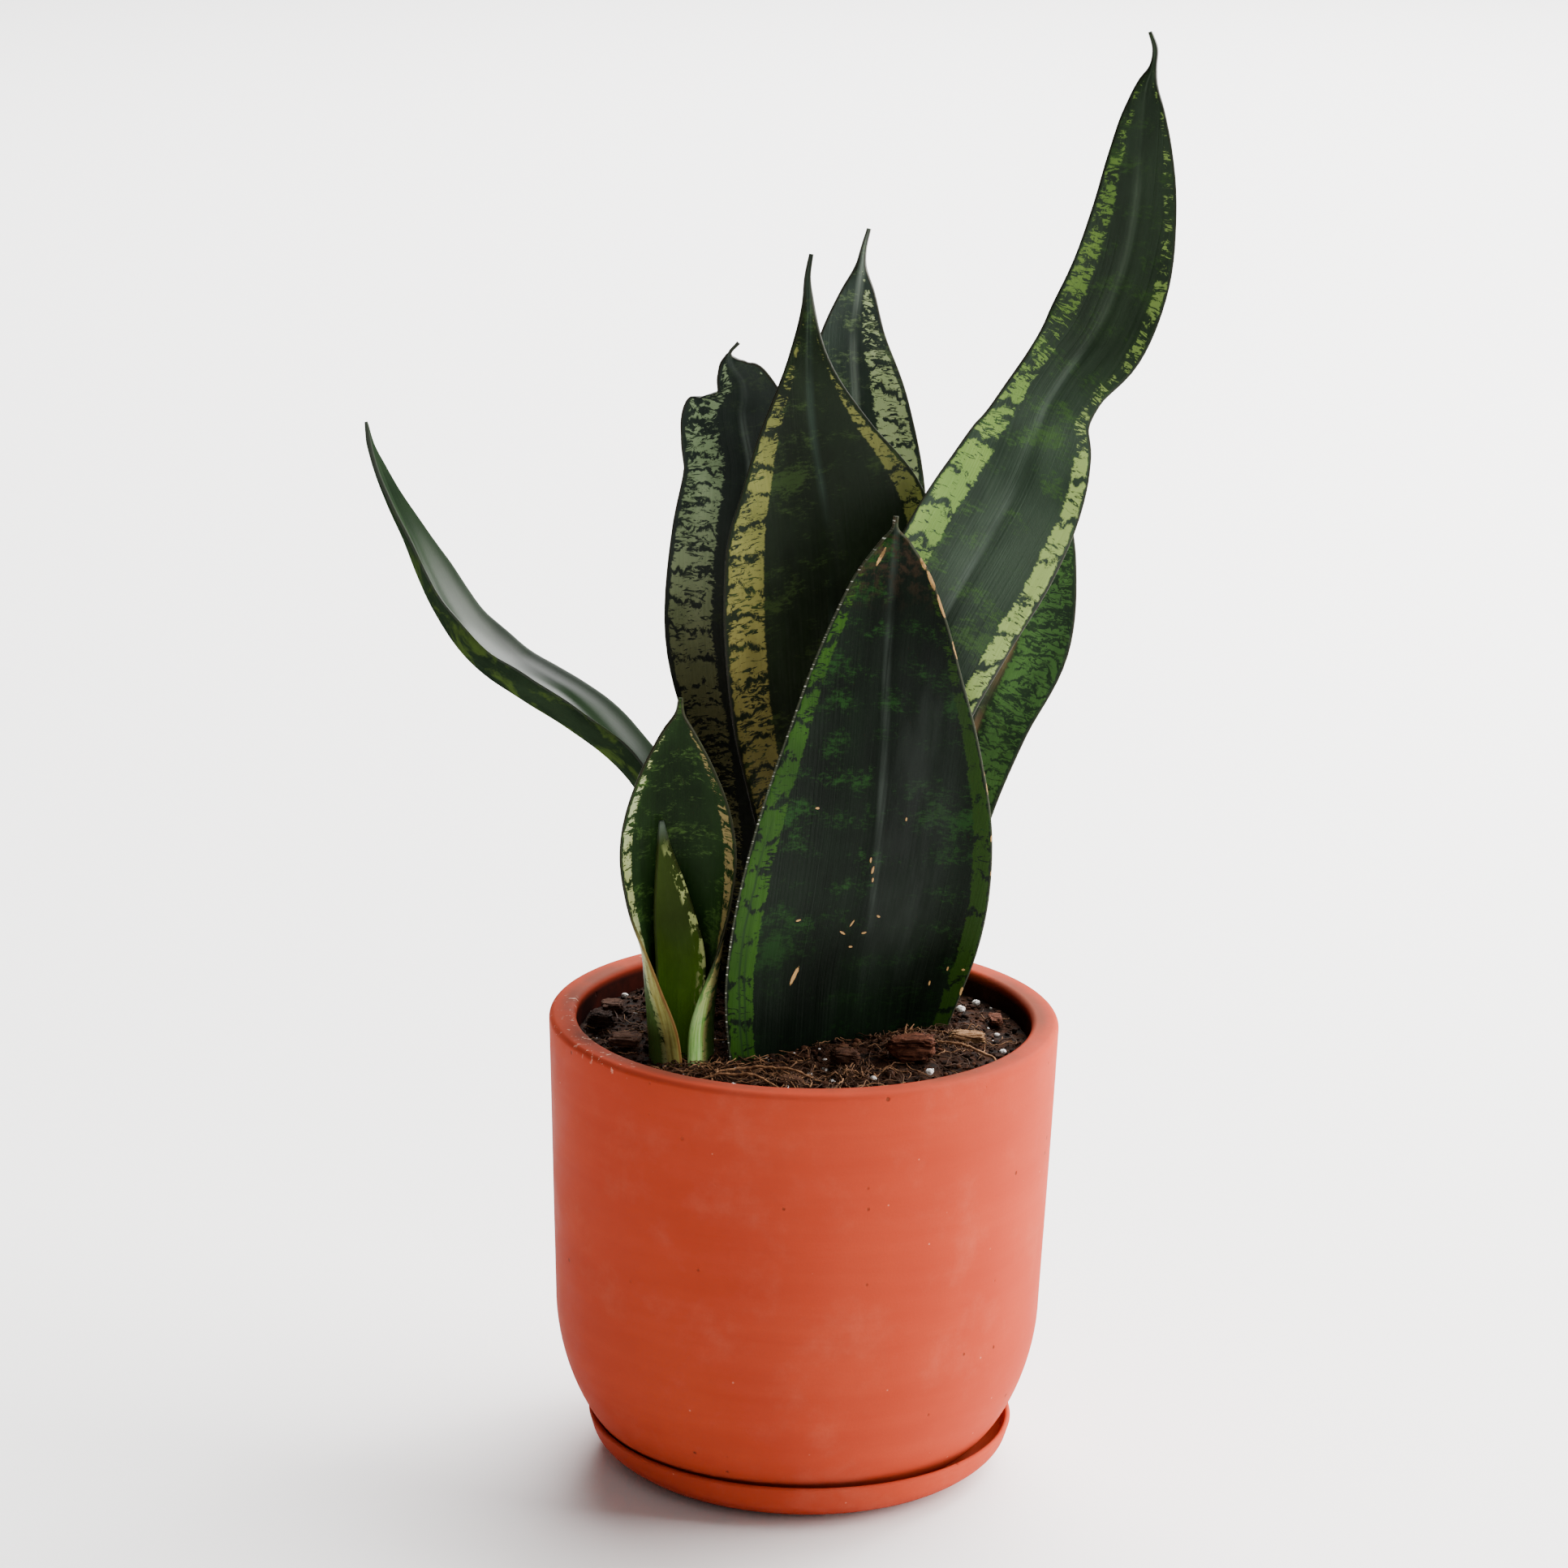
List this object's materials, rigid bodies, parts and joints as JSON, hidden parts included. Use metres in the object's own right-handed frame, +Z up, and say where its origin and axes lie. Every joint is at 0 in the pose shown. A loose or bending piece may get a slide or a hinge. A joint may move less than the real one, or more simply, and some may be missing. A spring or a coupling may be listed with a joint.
{
  "type": "potted snake plant",
  "caption": "Snake plant with stiff upright banded leaves growing from bark-strewn soil in a round terracotta planter on a low matching saucer.",
  "frame": {"origin": "on the flat underside of the saucer, where the planter's vertical axis meets the table", "axes": "+Z up along the planter's axis, -Y toward the plant's front, +X toward the side the tallest leaf leans to"},
  "size_m": [0.2332, 0.1498, 0.4249],
  "materials": {
    "pot": "matt unglazed terracotta",
    "saucer": "matt unglazed terracotta",
    "soil": "damp crumbly potting mix",
    "leaf_front": "waxy living leaf, dark with paler margins",
    "leaf_center": "waxy living leaf, dark with paler margins",
    "leaf_right_tall": "waxy living leaf, dark with paler margins",
    "leaf_back_center": "waxy living leaf, dark with paler margins",
    "leaf_back_left": "waxy living leaf, dark with paler margins",
    "leaf_right_back": "waxy living leaf, dark with paler margins",
    "leaf_left": "waxy living leaf, dark with paler margins",
    "leaf_small_outer": "waxy living leaf, dark with paler margins",
    "leaf_small_inner": "waxy living leaf, dark with paler margins",
    "bark_chip_tan": "split bark",
    "bark_chip_left_a": "split bark",
    "bark_chip_left_b": "split bark",
    "bark_chip_back": "split bark",
    "bark_chip_right": "split bark",
    "bark_chip_front": "split bark",
    "bark_lump_red": "fibrous bark lump",
    "bark_lump_brown": "fibrous bark lump",
    "bark_lump_dark": "fibrous bark lump",
    "perlite_a": "chalky perlite",
    "perlite_b": "chalky perlite",
    "perlite_c": "chalky perlite",
    "perlite_d": "chalky perlite",
    "perlite_e": "chalky perlite",
    "perlite_f": "chalky perlite",
    "perlite_g": "chalky perlite",
    "perlite_h": "chalky perlite",
    "coir_fibre_a": "coir strand",
    "coir_fibre_b": "coir strand",
    "coir_fibre_c": "coir strand"
  },
  "bodies": {
    "root": {"pot": "pot", "saucer": "saucer", "soil": "soil", "leaf_front": "leaf_front", "leaf_center": "leaf_center", "leaf_right_tall": "leaf_right_tall", "leaf_back_center": "leaf_back_center", "leaf_back_left": "leaf_back_left", "leaf_right_back": "leaf_right_back", "leaf_left": "leaf_left", "leaf_small_outer": "leaf_small_outer", "leaf_small_inner": "leaf_small_inner", "bark_chip_tan": "bark_chip_tan", "bark_chip_left_a": "bark_chip_left_a", "bark_chip_left_b": "bark_chip_left_b", "bark_chip_back": "bark_chip_back", "bark_chip_right": "bark_chip_right", "bark_chip_front": "bark_chip_front", "bark_lump_red": "bark_lump_red", "bark_lump_brown": "bark_lump_brown", "bark_lump_dark": "bark_lump_dark", "perlite_a": "perlite_a", "perlite_b": "perlite_b", "perlite_c": "perlite_c", "perlite_d": "perlite_d", "perlite_e": "perlite_e", "perlite_f": "perlite_f", "perlite_g": "perlite_g", "perlite_h": "perlite_h", "coir_fibre_a": "coir_fibre_a", "coir_fibre_b": "coir_fibre_b", "coir_fibre_c": "coir_fibre_c"}
  },
  "joints": []
}
